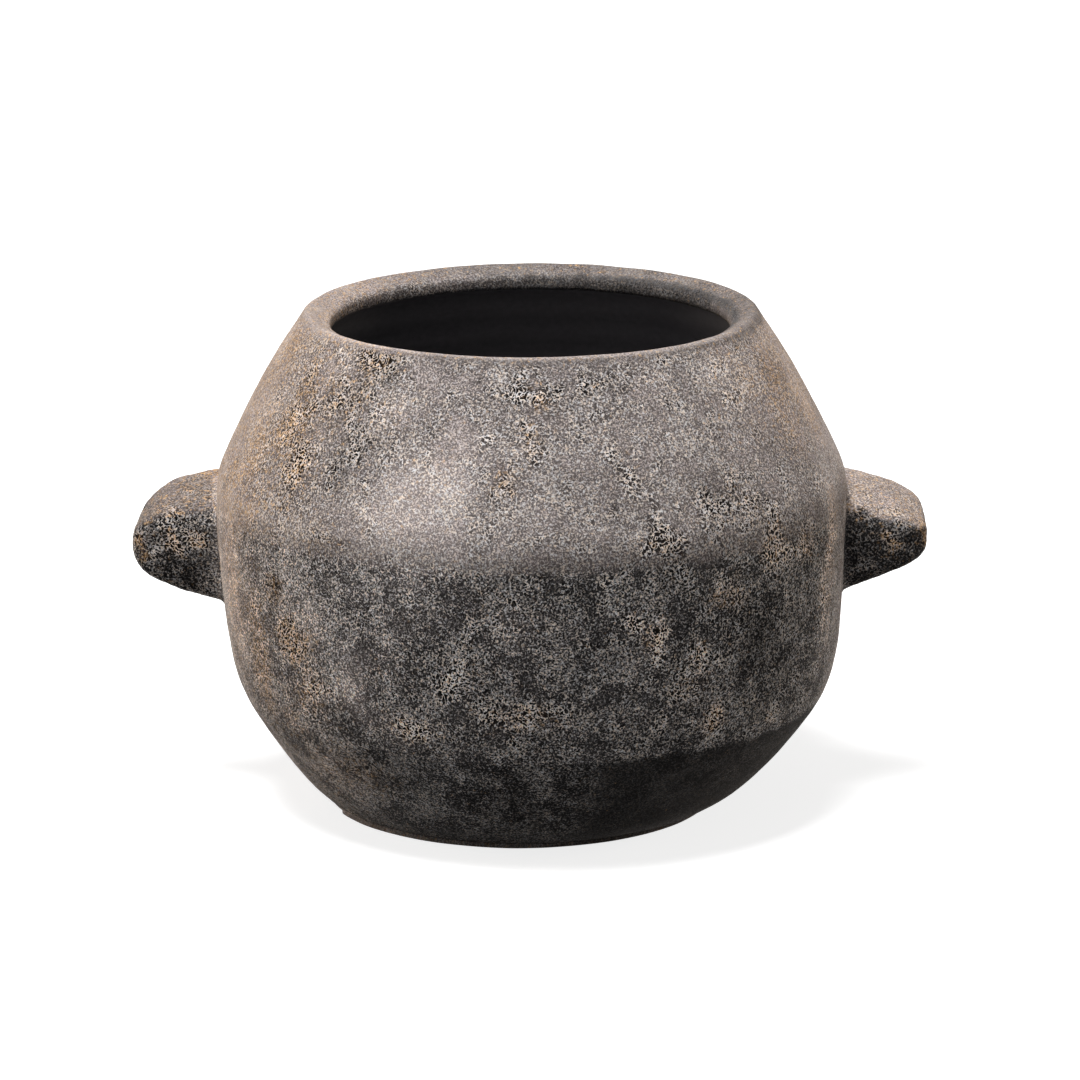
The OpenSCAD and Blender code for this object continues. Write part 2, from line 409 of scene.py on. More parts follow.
def make_turned_pieces():
    """The six turned pieces, by the node that each stands for."""
    low, high, neck = AT["low"], AT["high"], AT["neck"]
    inner_low, inner_high, inner_neck = AT["inner_low"], AT["inner_high"], AT["inner_neck"]
    low_tip = seam_tip(low, inner_low)
    high_tip = seam_tip(high, inner_high)
    neck_tip = seam_tip(neck, inner_neck)
    side_tip = [FLOOR_R + SEAM_DEPTH, FOOT_H + FLOOR_T / 2]
    underside = [[r, FOOT_H] for r in np.linspace(UNDER_FROM, FLOOR_R, UNDER_ROWS)]
    loops = {
        "lower_bowl": between(0, low) + [low_tip] + between(inner_low, AT["floor"])
        + [side_tip, [FLOOR_R, FOOT_H]],
        "belly_band": between(low, high) + [high_tip] + between(inner_high, inner_low) + [low_tip],
        "shoulder": between(high, neck) + [neck_tip] + between(inner_neck, inner_high) + [high_tip],
        "rim_ring": between(neck, inner_neck) + [neck_tip],
        "floor_disc": [[0, FOOT_H]] + underside + [side_tip]
        + between(AT["floor"], len(PROFILE) - 1),
        "foot_ring": foot_loop(),
    }
    return {node: ring_piece(node, loop, closed=node != "floor_disc")
            for node, loop in loops.items()}


# Lugs
LUG_REACH = 42.2
LUG_W = 49.7
LUG_SETBACK = 13.0
LUG_NECK = 6.0       # about how far the wall lies inside the shoulder corner there
LUG_FLARE = 2.0
LUG_FLARE_RUN = 9.0
LUG_SIDES, LUG_RINGS, NECK_RINGS, CAP_RINGS = 200, 64, 6, 7
FREE_RINGS = 14      # rings over which the lumps grow from nothing at the root
LUG_LUMPS = ((0.55, 17, 0), (0.35, 7, 1), (0.22, 2.6, 2))       # seeds count on from the lug's
FINE = 4000          # steps of a line that is later divided evenly
LUGS = {
    "left_lug": dict(
        side=-1, seed=11, middle_z=133.5, above=25.1, below=28.8, droop=2.84, lean=0.222,
        squareness=4.99, w_taper=0.269, w_blunt=4.88, top_taper=0.13, top_blunt=2.82,
        bottom_taper=0.311, bottom_blunt=2.74, skew=0.053),
    "right_lug": dict(
        side=1, seed=21, middle_z=140.3, above=20.1, below=31.5, droop=2.39, lean=0.206,
        squareness=3.9, w_taper=0.0, w_blunt=5.0, top_taper=0.503, top_blunt=3.9,
        bottom_taper=0.574, bottom_blunt=4.6, skew=0.0),
}


def power(value, exponent):
    return np.sign(value) * np.abs(value) ** exponent


def shrink(share, taper, blunt):
    """Size at a share of the way from root to tip, where the root is 1."""
    return (1 - taper * share) * np.maximum(0, 1 - share**blunt) ** (1 / blunt)


def evenly(points, count):
    """Points spread evenly along a line. Its ends are kept."""
    run = arc_length(points)
    at = np.linspace(0, run[-1], count)
    return np.stack([np.interp(at, run, column) for column in points.T], -1)


def wall_x(y, z):
    """How far along X the wall's outside lies at y and z."""
    return np.sqrt(body_radius(z) ** 2 - y**2)


def lug_outline(squareness):
    """Square with soft corners: across and up, from -1 to 1."""
    turn = np.linspace(0, FULL_TURN, 2 * FINE + 1)
    across, up = power(np.cos(turn), 2 / squareness), power(np.sin(turn), 2 / squareness)
    return evenly(np.stack([across, up], -1), LUG_SIDES + 1)[:-1].T


def lug_stations(shape):
    """The lug's rings, as shares of its neck and of its reach."""
    share = 1 - np.linspace(1, 0, FINE + 1) ** 4
    half_w = LUG_W / 2 * shrink(share, shape["w_taper"], shape["w_blunt"])
    even = evenly(np.stack([LUG_REACH * share, half_w], -1), LUG_RINGS + 1)[:-1, 0] / LUG_REACH
    return [(k / NECK_RINGS, 0.0) for k in range(NECK_RINGS)] + [(1.0, s) for s in even]


def lug_ring(shape, across, up, neck_share, share):
    """One ring of a lug. Skew makes its front reach further than its back."""
    run = LUG_NECK * neck_share + LUG_REACH * share
    flare = LUG_FLARE * max(0.0, 1 - run / LUG_FLARE_RUN) ** 2
    half_w = LUG_W / 2 * shrink(share, shape["w_taper"], shape["w_blunt"]) + flare
    above = shape["above"] * shrink(share, shape["top_taper"], shape["top_blunt"]) + flare
    below = shape["below"] * shrink(share, shape["bottom_taper"], shape["bottom_blunt"]) + flare
    y = half_w * across + LUG_SETBACK
    z = np.where(up > 0, above, below) * up + shape["lean"] * (y - LUG_SETBACK)
    z = z + shape["middle_z"] - shape["droop"] * share**2
    reach = LUG_REACH * share * (1 - shape["skew"] * across * share)
    x = wall_x(y, z) * (1 - neck_share) + (SHOULDER_CORNER[0] + reach) * neck_share
    return np.stack([x, y, z], -1)


def lug_cap(root):
    """The rings that close a lug's root along the wall, and the point in their middle."""
    centre = root.mean(0)[1:]
    rings = []
    for share in np.linspace(0, 1, CAP_RINGS + 2)[1:-1]:
        y, z = (centre + (root[:, 1:] - centre) * share).T
        rings.append(np.stack([wall_x(y, z), y, z], -1))
    return rings, np.array([wall_x(*centre), *centre])


def roughened(grid, free, seed):
    """Moves a lug's points in or out by lumps, as far as they are free to move."""
    along = np.gradient(grid, axis=0)
    around = np.roll(grid, -1, 1) - np.roll(grid, 1, 1)
    outward = np.cross(around, along)
    length = np.linalg.norm(outward, axis=-1, keepdims=True)
    outward = np.where(length > 1e-6, outward / np.maximum(length, 1e-6), [[[1.0, 0, 0]]])
    rough = lumps(grid, *((depth, size, seed + k) for depth, size, k in LUG_LUMPS))
    return grid + outward * (free * rough)[..., None]


def make_lug(node, shape):
    """Lug from the wall's outside to its tip."""
    across, up = lug_outline(shape["squareness"])
    rings = [lug_ring(shape, across, up, *station) for station in lug_stations(shape)]
    cap, middle = lug_cap(rings[0])
    tip = [SHOULDER_CORNER[0] + LUG_REACH, LUG_SETBACK, shape["middle_z"] - shape["droop"]]
    grid = np.array(cap + rings)
    free = portion(np.arange(len(grid)) - len(cap), 0, FREE_RINGS)[:, None]
    grid = roughened(grid, free, shape["seed"])

    points = np.concatenate([grid.reshape(-1, 3), [middle], [tip]])
    points[:, 0] *= shape["side"]
    middle_id, tip_id = len(points) - 2, len(points) - 1
    last = (len(grid) - 1) * LUG_SIDES
    sides = [(s, (s + 1) % LUG_SIDES) for s in range(LUG_SIDES)]
    faces = [[r + s, r + t, r + LUG_SIDES + t, r + LUG_SIDES + s]
             for r in range(0, last, LUG_SIDES) for s, t in sides]
    for s, t in sides:
        faces += [[middle_id, t, s], [last + s, last + t, tip_id]]
    if shape["side"] < 0:
        faces = [face[::-1] for face in faces]
    return make_piece(node, handmade(points), faces, LUG_SHARP)


pieces = make_turned_pieces()
for lug, lug_shape in LUGS.items():
    pieces[lug] = make_lug(lug, lug_shape)


# Marks of the kiln, and painted light and shade, painted on the points of each piece as five
# levels: ground, thread, crackle, ochre and plain. Ground is the clay between the wrinkles, thread
# is the pale dust that lies on them, and plain is the clay where no wrinkles show. These three are
# square roots of a colour's brightness, and in places they carry painted light and shade. Crackle
# says how open the wrinkles are. Ochre says how rusty the clay is, and at the pot's sides it also
# carries a painted warm glow of grazing light.
CHANNELS = ("ground", "thread", "crackle", "ochre_and_edge_glow", "plain")

# Azimuth and height of each patch, its half width and half height, then what it adds to
# ground, thread, crackle and ochre. Azimuth -90 faces the camera.
FRONT_PATCHES = [
    (-112, 189, 27, 22, 0.17, 0.12, 0.0, 0.05),
    (-104, 209, 17, 20, 0.10, 0.08, 0.1, 0.1),
    (-119, 176, 20, 9, 0.05, 0.05, 0.0, 0.05),
    (-130, 163, 14, 8, -0.08, -0.08, 0.2, 0.1),
    (-128, 204, 17, 19, -0.09, -0.06, 0.4, 0.0),
    (-95, 198, 7, 10, -0.10, 0.0, 0.5, 0.35),
    (-91, 216, 7, 12, -0.10, 0.0, 0.5, 0.3),
    (-88, 234, 6, 9, -0.03, 0.05, 0.5, 0.45),
    (-97, 234, 6, 6, -0.03, -0.06, -0.2, 0.0),
    (-97, 238, 16, 7, -0.05, 0.0, 0.4, 0.1),
    (-76, 240, 18, 5, -0.09, -0.05, 0.2, 0.1),
    (-148, 229, 8, 13, -0.08, -0.10, 0.3, 0.2),
    (-150, 207, 9, 13, -0.03, 0.02, 0.5, 0.35),
    (-158, 190, 10, 18, 0.01, 0.02, 0.3, 0.5),
    (-164, 176, 12, 14, -0.08, -0.08, 0.1, 0.2),
    (-152, 166, 10, 10, 0.05, 0.05, 0.1, 0.3),
    (-140, 192, 11, 15, -0.14, -0.06, 0.8, 0.25),
    (-145, 211, 9, 11, -0.10, -0.03, 0.7, 0.25),
    (-160, 130, 14, 45, 0.15, 0.06, 0.1, 0.3),
    (-143, 133, 7, 9, -0.12, -0.25, 0.5, 0.3),
    (-138, 110, 11, 12, -0.16, -0.03, 0.8, 0.5),
    (-133, 118, 9, 16, 0.08, 0.05, 0.0, 0.1),
    (-124, 96, 11, 22, 0.13, 0.06, 0.0, 0.0),
    (-117, 74, 22, 10, 0.05, 0.03, 0.1, 0.1),
    (-134, 84, 12, 16, -0.01, 0.08, 0.5, 0.3),
    (-126, 87, 12, 13, 0.10, 0.11, 0.0, 0.1),
    (-117, 109, 12, 11, 0.04, 0.06, 0.0, 0.1),
    (-113, 135, 18, 16, 0.06, 0.01, 0.1, 0.0),
    (-112, 152, 11, 7, 0.10, 0.08, 0.0, 0.0),
    (-102, 108, 16, 20, -0.03, 0.0, 0.3, 0.1),
    (-92, 84, 24, 9, -0.02, 0.06, 0.6, 0.25),
    (-94, 131, 11, 11, 0.10, 0.08, 0.3, 0.1),
    (-81, 144, 12, 8, -0.04, -0.12, 0.2, 0.0),
    (-64, 150, 10, 7, -0.04, -0.12, 0.5, 0.1),
    (-68, 121, 9, 10, 0.0, 0.14, 1.0, 0.4),
    (-72, 131, 6, 6, 0.0, 0.12, 0.9, 0.3),
    (-55, 75, 9, 9, 0.0, 0.12, 1.0, 0.45),
    (-46, 112, 15, 20, -0.05, -0.24, 0.0, 0.0),
    (-41, 82, 14, 15, -0.04, -0.16, 0.1, 0.0),
    (-60, 96, 14, 12, -0.02, 0.0, 0.4, 0.2),
    (-53, 137, 14, 10, -0.02, 0.0, 0.5, 0.3),
    (-66, 168, 14, 8, -0.05, 0.05, 0.9, 0.2),
    (-42, 159, 13, 9, 0.03, 0.10, 0.7, 0.25),
    (-32, 154, 9, 9, 0.05, 0.08, 0.4, 0.3),
    (-43, 172, 13, 13, -0.04, 0.01, 0.35, 0.1),
    (-55, 148, 9, 7, 0.04, 0.08, 0.4, 0.1),
    (-52, 183, 24, 12, -0.09, -0.09, 0.45, 0.15),
    (-70, 200, 14, 16, -0.04, -0.02, 0.5, 0.1),
    (-38, 232, 26, 14, 0.02, 0.02, 0.1, 0.1),
    (-60, 237, 18, 9, 0.03, 0.03, 0.2, 0.1),
    (-26, 205, 14, 26, 0.03, 0.03, 0.1, 0.2),
    (-20, 160, 10, 24, 0.12, 0.12, 0.3, 0.25),
    (-23, 126, 11, 34, 0.11, 0.11, 0.4, 0.2),
    (-136, 226, 22, 16, -0.07, -0.08, 0.3, 0.1),
    (-121, 222, 13, 11, 0.03, 0.04, 0.1, 0.1),
    (-129, 242, 15, 8, -0.13, -0.11, 0.4, 0.1),
    (-129, 247, 14, 6, -0.08, -0.08, 0.5, 0.1),
    (-68, 69, 26, 8, -0.02, -0.08, 0.1, 0.0),
    (-46, 68, 20, 8, -0.02, -0.10, 0.0, 0.0),
    (-150, 95, 10, 34, 0.03, 0.04, 0.3, 0.4),
    (-123, 47, 24, 16, -0.06, -0.20, 0.0, 0.1),
    (-78, 118, 14, 20, -0.03, -0.09, 0.1, 0.0),
    (-166, 240, 14, 9, -0.07, -0.07, 0.0, 0.2),
    (-21, 229, 14, 13, -0.05, -0.05, 0.0, 0.2),
    (-13, 205, 12, 20, 0.08, 0.08, 0.1, 0.3),
    (-40, 149, 14, 8, -0.02, 0.10, 0.6, 0.2),
    (-37, 117, 12, 17, -0.08, -0.08, 0.3, -0.2),
    (-126, 73, 10, 9, -0.06, -0.18, 0.2, 0.0),
    (-141, 64, 9, 8, 0.06, 0.09, 0.0, 0.2),
    (-59, 112, 8, 8, 0.0, 0.10, 0.9, 0.25),
    (-40, 71, 8, 7, 0.02, 0.12, 0.8, 0.2),
    (-106, 98, 9, 7, 0.0, 0.08, 0.9, 0.1),
    (-112, 74, 12, 6, 0.0, 0.10, 0.7, 0.2),
    (-93, 34, 26, 20, -0.02, -0.16, 0.1, 0.0),
    (-132, 40, 30, 20, 0.02, 0.04, 0.3, 0.2),
]
# The lugs' patches: a point, its reach, then the same four values
LUG_PATCHES = [
    (-181, -10, 131, 5, -0.04, 0.12, 1.0, 0.5),
    (-185, -11, 137, 5, -0.05, 0.10, 1.0, 0.35),
    (-169, -11, 134, 5, 0.0, 0.06, 0.8, 0.35),
    (-199, 0, 133, 6, 0.05, 0.0, 0.4, 0.7),
    (-196, -6, 125, 5, 0.0, 0.05, 0.6, 0.6),
    (-183, -9, 151, 6, 0.02, 0.12, 0.8, 0.5),
    (-191, -8, 146, 5, 0.0, 0.10, 0.8, 0.5),
    (-176, -10, 118, 9, -0.05, -0.30, 0.0, 0.0),
    (-163, -11, 125, 8, 0.08, -0.10, 0.0, 0.0),
    (-163, 30, 163, 9, 0.0, 0.05, 0.1, 0.9),
    (190, -10, 153, 6, 0.06, 0.14, 0.6, 0.5),
    (163, -12, 153, 6, 0.0, 0.10, 0.7, 0.6),
    (161, -8, 158, 5, -0.06, -0.22, 0.0, 0.0),
    (179, -12, 137, 4, 0.0, 0.14, 0.8, 0.6),
    (185, -12, 130, 4, 0.0, 0.12, 0.8, 0.6),
    (199, -2, 138, 6, 0.04, 0.05, 0.5, 0.6),
    (165, -12, 133, 12, -0.02, -0.10, 0.2, 0.0),
]
# The back's patches are drawn at random: how many, and the range or spread of each value
BACK_PATCHES = 46
BACK_AZIMUTHS, BACK_HEIGHTS = (-8, 188), (20, 245)
BACK_WIDE, BACK_TALL = (7, 26), (7, 22)
BACK_GROUND, BACK_THREAD, BACK_OCHRE = 0.08, 0.09, 0.5
# How lumps bend the patches' edges: strength, size and first of three seeds
PATCH_BENDS = ((5.0, 14, 61), (2.5, 5, 64))
PLAIN_OF_GROUND, PLAIN_OF_THREAD = 0.55, 0.45      # what a patch adds to plain

# Edges of the wall's zones: where a zone begins or ends, and how far lumps move that
EDGE_LUMPS = ((1.0, 9, 41), (0.6, 4, 42))
UPPER_FROM, BOWL_TO = (154.0, 161.0, 3.0), (57.0, 60.5, 1.6)        # heights
LEFT_FROM, LEFT_TO = (130, 178, 0), (228, 264, 6)       # azimuths from 0 to 360
RIGHT_FROM, RIGHT_TO = (-76, -40, 6), (0, 30, 0)        # azimuths from -180 to 180
# The bowl's lower right is darker: partly dark clay, partly painted shade where the light falls
# away
DARK_SHADED_FROM, DARK_SHADED_TO = (-86, -72, 4), (5, 40, 0)
# The sides, as the camera sees them, get a painted warm glow of grazing light, and the limbs beyond
# them a pale painted sheen
SIDE_FROM, LIMB_FROM = (30, 62, 5), (59, 82, 5)         # degrees away from front and back
# A pale band along the shoulder's corner, on the left and the front, is painted light; it goes in
# with the drift zone
ARRIS_FROM, ARRIS_TO = (154, 158, 2), (166, 175, 0)     # heights
ARRIS_LEFT, ARRIS_RIGHT = (150, 182, 0), (262, 280, 0)  # azimuths from 0 to 360
EAST_FROM, EAST_TO = (20, 110, 0), (185, 215, 0)        # x, then heights
# A thin band just above the foot is darkened as painted shade in the groove
GROOVE_TO = (FOOT_H + 0.2, FOOT_H + 1.6, 0)             # heights
DRIFT_LUMPS = ((0.05, 60, 43), (0.03, 22, 44))
# How much painted light the band along the shoulder's corner adds
ARRIS_LIGHT = 0.09
DARK_SHADED_HIDES = 0.85   # how much of a patch the darker lower right hides
# What each zone adds to the five levels
WALL_LEVELS = {
    "everywhere": (0.14, 0.88, 0.12, 0.06, 0.27),
    "upper": (0.15, -0.14, 0.06, 0.0, 0.21),
    "bowl": (-0.02, -0.13, 0.0, 0.0, -0.10),
    # Darker lower right of the bowl: partly dark clay, partly painted shade
    "dark_shaded": (-0.03, -0.46, -0.14, -0.06, -0.08),
    "lower_left": (0.10, 0.07, 0.0, 0.0, 0.05),
    "upper_left": (0.0, 0.0, 0.0, 0.10, 0.0),
    "band_right": (-0.02, -0.09, 0.12, 0.0, -0.05),
    # Painted warm glow of grazing light at the sides, less low on the right, and pale painted sheen
    # at the limbs, less on the shoulder
    "side": (0.0, 0.0, 0.0, 0.22, 0.0),
    "side_east": (0.0, 0.0, 0.0, -0.15, 0.0),
    "limb": (0.24, 0.11, -0.25, 0.0, 0.23),
    "upper_limb": (-0.10, -0.08, 0.0, 0.0, -0.11),
    "upper_limb_west": (0.0, 0.0, 0.0, 0.16, 0.0),
    # Random drift of tone, plus the painted light band along the shoulder's corner
    "drift": (1.0, 0.8, 0.0, 0.0, 1.0),
    # Painted shade in the groove above the foot
    "groove": (-0.04, -0.30, 0.0, 0.0, -0.07),
}

# The rim: its worn top, what the left adds there, its crest at the front, and its inside
RIM_LEVELS = (0.33, 0.47, -0.20, 0.28, 0.37)
RIM_LEFT = (0.11, 0.14, 0.0, 0.15, 0.14)
RIM_CREST = (0.12, 0.14, 0.0, 0.0, 0.14)
RIM_INWARD = (-0.09, -0.32, -0.30, -0.20, -0.13)
RIM_FRONT, RIM_LEFT_FROM = (20, 85), (0.3, 0.9)
RIM_TOP, RIM_FRONT_RAISE, RIM_CREST_FROM = (245.5, 250.0), 2.2, (250.9, 252.0)
# The darkening at the rim's inner edge reaches further out on the right: painted shade
RIM_INWARD_TO, RIM_INWARD_LEFT = (99.4, 103.4), 2.6
RIM_TOP_LUMPS, RIM_CREST_LUMPS, RIM_INWARD_LUMPS = (1.5, 6, 49), (0.3, 4, 50), (1.2, 7, 45)
GLAZE_R, GLAZE_Z = (103.5, 101.5), (243.4, 238.4)       # where the dark inside begins
GLAZE_LUMPS = (1.2, 6, 47)

# The lugs: their tops painted paler as painted light from above, their sides and undersides darker
# as painted shade
LUG_LEVELS = {
    "left_lug": {"top": (0.28, 0.55, 0.15, 0.40, 0.41), "sides": (0.11, 0.72, 0.35, 0.15, 0.16)},
    "right_lug": {"top": (0.36, 0.68, 0.15, 0.40, 0.53), "sides": (0.12, 0.54, 0.35, 0.15, 0.18)},
}
# Painted shade on the undersides of the lugs
LUG_UNDER = (0.0, -0.15, 0.0, 0.0, -0.05)
LUG_TOP_FROM, LUG_UNDER_FROM = (0.34, 0.66), (0.2, 0.7)  # upward share of the normal
LUG_ROOT, LUG_ROOT_TO = 0.35, (1.0, 5.5)                # share of the wall's look, distance off it
LUG_TOP_LUMPS, LUG_ROOT_LUMPS = (0.2, 8, 46), (1.0, 5, 48)

# The foot and the floor slab
# The foot ring is paler than the clay above it: partly the clay's colour, partly painted light that
# stands in for light bounced up from the floor
FOOT_LEVELS = (0.43, 0.88, 0.0, 0.25, 0.68)
FOOT_RIGHT_SHADE, FOOT_RIGHT_TO = 0.72, (-45, 10)
FLOOR_LEVELS = (0.12, 0.30, 0.0, 0.0, -0.12)
FLOOR_TOP_FROM = FOOT_H + 1
# The dark inside, where plain is how pale the throwing rings are
INSIDE_PLAIN, INSIDE_RINGS, INSIDE_RIGHT, INSIDE_DEEP = 0.58, 0.12, 0.35, 0.50
INSIDE_DEEP_TO = (60, 165)


def paint(obj, name, values):
    layer = obj.data.attributes.new(name, "FLOAT", "POINT")
    layer.data.foreach_set("value", np.asarray(values, np.float32))


def read_vectors(source, what):
    values = np.zeros(len(source) * 3, np.float32)
    source.foreach_get(what, values)
    return values.reshape(-1, 3)


def body_patches():
    """Patches of the whole body, as centre, half width, half height and four values."""
    rng = np.random.default_rng(7)
    rows = list(FRONT_PATCHES)
    for _ in range(BACK_PATCHES):
        azimuth, height = rng.uniform(*BACK_AZIMUTHS), rng.uniform(*BACK_HEIGHTS)
        wide, tall = rng.uniform(*BACK_WIDE), rng.uniform(*BACK_TALL)
        crackle = rng.uniform(0, 1) ** 2
        rows.append((azimuth, height, wide, tall, rng.normal(0, BACK_GROUND),
                     rng.normal(0, BACK_THREAD), crackle, crackle * rng.uniform(0, BACK_OCHRE)))
    out = []
    for azimuth, height, wide, tall, *values in rows:
        turn = math.radians(azimuth)
        reach = body_radius(height)
        centre = [math.cos(turn) * reach, math.sin(turn) * reach, height]
        out.append((np.array(centre), wide, tall, np.array(values)))
    return out


def patch_levels(points, patches):
    """What the patches add to the five levels. Lumps bend their edges."""
    bent = points
    for strength, size, seed in PATCH_BENDS:
        bent = bent + np.stack([lumps(points, (strength, size, seed + k)) for k in range(3)], -1)
    total = np.zeros((len(points), 4))
    for centre, wide, tall, values in patches:
        away = bent - centre
        far = (away[:, 0] ** 2 + away[:, 1] ** 2) / wide**2 + away[:, 2] ** 2 / tall**2
        total += np.exp(-far**1.5)[:, None] * values
    plain = PLAIN_OF_GROUND * total[:, 0] + PLAIN_OF_THREAD * total[:, 1]
    return np.column_stack([total, plain])


BODY_PATCHES = body_patches()
LUG_SPOTS = [(np.array(row[:3], float), row[3], row[3], np.array(row[4:])) for row in LUG_PATCHES]


def wall_zones(points):
    """How far each zone of the wall takes in each point, from 0 to 1."""
    x, y, z = points.T
    ragged = lumps(points, *EDGE_LUMPS)

    def past(value, edge):
        start, end, rag = edge
        return smooth(value + rag * ragged, start, end)

    azimuth = np.degrees(np.arctan2(y, x))
    turn = azimuth % 360
    off_front = np.abs((azimuth + 270) % 360 - 180)
    aside = np.minimum(off_front, 180 - off_front)
    upper = past(z, UPPER_FROM)
    bowl = 1 - past(z, BOWL_TO)
    left = past(turn, LEFT_FROM) * (1 - past(turn, LEFT_TO))
    right = past(azimuth, RIGHT_FROM) * (1 - past(azimuth, RIGHT_TO))
    # Darker lower right of the bowl: partly dark clay, partly painted shade
    dark_shaded = bowl * past(azimuth, DARK_SHADED_FROM) * (1 - past(azimuth, DARK_SHADED_TO))
    # Sides and limbs as the camera sees them, where grazing light is painted as warm glow and sheen
    side = past(aside, SIDE_FROM) * (1 - dark_shaded)
    limb = past(aside, LIMB_FROM) * (1 - dark_shaded)
    east = past(x, EAST_FROM) * (1 - past(z, EAST_TO))
    arris = past(z, ARRIS_FROM) * (1 - past(z, ARRIS_TO))
    arris = arris * past(turn, ARRIS_LEFT) * (1 - past(turn, ARRIS_RIGHT))
    return {
        "everywhere": np.ones(len(points)),
        "upper": upper,
        "bowl": bowl,
        "dark_shaded": dark_shaded,
        "lower_left": left * (1 - upper),
        "upper_left": left * upper,
        "band_right": right * (1 - upper) * (1 - bowl),
        "side": side,
        "side_east": side * east,
        "limb": limb,
        "upper_limb": upper * limb,
        "upper_limb_west": upper * limb * (1 - east),
        # Random drift of tone, plus the painted light band along the shoulder's corner
        "drift": lumps(points, *DRIFT_LUMPS) + ARRIS_LIGHT * arris,
        "groove": 1 - past(z, GROOVE_TO),
    }


def wall_levels(points):
    """The five levels of the wall's outside."""
    zones = wall_zones(points)
    levels = sum(np.outer(zones[name], adds) for name, adds in WALL_LEVELS.items())
    shown = 1 - DARK_SHADED_HIDES * zones["dark_shaded"]
    return levels + patch_levels(points, BODY_PATCHES) * shown[:, None]


def rim_levels(points, radius):
    """The five levels of the rim. Its top is worn pale, from higher up at the front. Its inner
    edge darkens towards the glaze, and further out on the right as painted shade.
    """
    x, y, z = points.T
    across = x / MOUTH_R
    front = smooth(-y, *RIM_FRONT)
    top = smooth(z + lumps(points, RIM_TOP_LUMPS) - RIM_FRONT_RAISE * front, *RIM_TOP)[:, None]
    worn = np.array(RIM_LEVELS) + np.outer(smooth(-across, *RIM_LEFT_FROM), RIM_LEFT)
    crest = front * smooth(z + lumps(points, RIM_CREST_LUMPS), *RIM_CREST_FROM)
    inward = radius + lumps(points, RIM_INWARD_LUMPS) - RIM_INWARD_LEFT * across
    inward = 1 - smooth(inward, *RIM_INWARD_TO)
    levels = wall_levels(points) * (1 - top) + worn * top
    return levels + np.outer(crest, RIM_CREST) + np.outer(inward, RIM_INWARD)


def lug_levels(points, up, radius, tones):
    """The five levels of a lug, from those of its top, paler as painted light, and of its sides,
    darker as painted shade, with more painted shade underneath.
    """
    top = smooth(up + lumps(points, LUG_TOP_LUMPS), *LUG_TOP_FROM)[:, None]
    levels = np.array(tones["top"]) * top + np.array(tones["sides"]) * (1 - top)
    levels = levels + np.outer(smooth(-up, *LUG_UNDER_FROM), LUG_UNDER)
    levels = levels + patch_levels(points, LUG_SPOTS)
    off_wall = radius - body_radius(points[:, 2]) + lumps(points, LUG_ROOT_LUMPS)
    root = LUG_ROOT * (1 - smooth(off_wall, *LUG_ROOT_TO))[:, None]
    return levels * (1 - root) + wall_levels(points) * root


def inside_plain(points, radius):
    """Plain level of the dark inside: throwing rings, paler on the right and higher up."""
    rings = throwing_rings(points[:, 2], radius, wandering_turn(points))
    plain = INSIDE_PLAIN + INSIDE_RINGS * rings + INSIDE_RIGHT * points[:, 0] / radius
    return plain - INSIDE_DEEP * (1 - smooth(points[:, 2], *INSIDE_DEEP_TO))


def paint_piece(node, obj):
    points = read_vectors(obj.data.vertices, "co") / MM
    radius = np.hypot(points[:, 0], points[:, 1])
    inner = np.zeros(len(points))
    if node == "rim_ring":
        down = smooth(points[:, 2] - lumps(points, GLAZE_LUMPS), *GLAZE_Z)
        inner = smooth(radius, *GLAZE_R) * down
        levels = rim_levels(points, radius)
        levels[:, 4] *= 1 - inner
    elif node in LUGS:
        up = read_vectors(obj.data.vertex_normals, "vector")[:, 2]
        levels = lug_levels(points, up, radius, LUG_LEVELS[node])
    elif node == "floor_disc":
        levels = np.tile(FLOOR_LEVELS, (len(points), 1))
        inner = (points[:, 2] > FLOOR_TOP_FROM).astype(float)
    elif node == "foot_ring":
        # Paler foot: partly the clay's colour, partly painted light bounced up from the floor
        shade = smooth(-points[:, 0], *FOOT_RIGHT_TO)
        levels = np.outer(FOOT_RIGHT_SHADE + (1 - FOOT_RIGHT_SHADE) * shade, FOOT_LEVELS)
    else:
        levels = wall_levels(points)
        inner = (radius < body_radius(points[:, 2]) - WALL_T / 2).astype(float)
        levels[:, 4] = np.where(inner > 0, inside_plain(points, radius), levels[:, 4])
    for name, values in zip(CHANNELS, levels.T):
        paint(obj, name, values)
    paint(obj, "inner", inner)


for piece_node, piece in pieces.items():
    paint_piece(piece_node, piece)


# Materials
def rgb(r, g, b):
    return (r, g, b, 1.0)


# Tints, which a level's grey is multiplied by
CREAM, CREAM_WARM, CREAM_OCHRE = rgb(1.02, 1.0, 1.0), rgb(1.17, 1.0, 0.86), rgb(1.22, 1.0, 0.84)
CLAY_DARK, CLAY_DUSTED = rgb(1.04, 1.0, 1.01), rgb(1.16, 1.0, 0.96)
CLAY_OCHRE = rgb(1.22, 1.0, 0.92)
DRIFT_COOL, DRIFT_WARM = rgb(0.96, 1.0, 1.07), rgb(1.04, 1.0, 0.92)
# Colours
RUST_DARK, RUST_PALE = rgb(0.17, 0.09, 0.04), rgb(0.72, 0.44, 0.20)
GLAZE_DARK, GLAZE_PALE = rgb(0.057, 0.057, 0.062), rgb(0.335, 0.32, 0.335)
SHEEN_TINT = rgb(1.0, 0.80, 0.62)
DARKEST = 0.07           # lowest level of the clay
THREAD_STEP = 0.08       # least that thread lies above ground
DUST_LEFT = {"weathered_clay": 1.0, "dark_clay": 0.8}


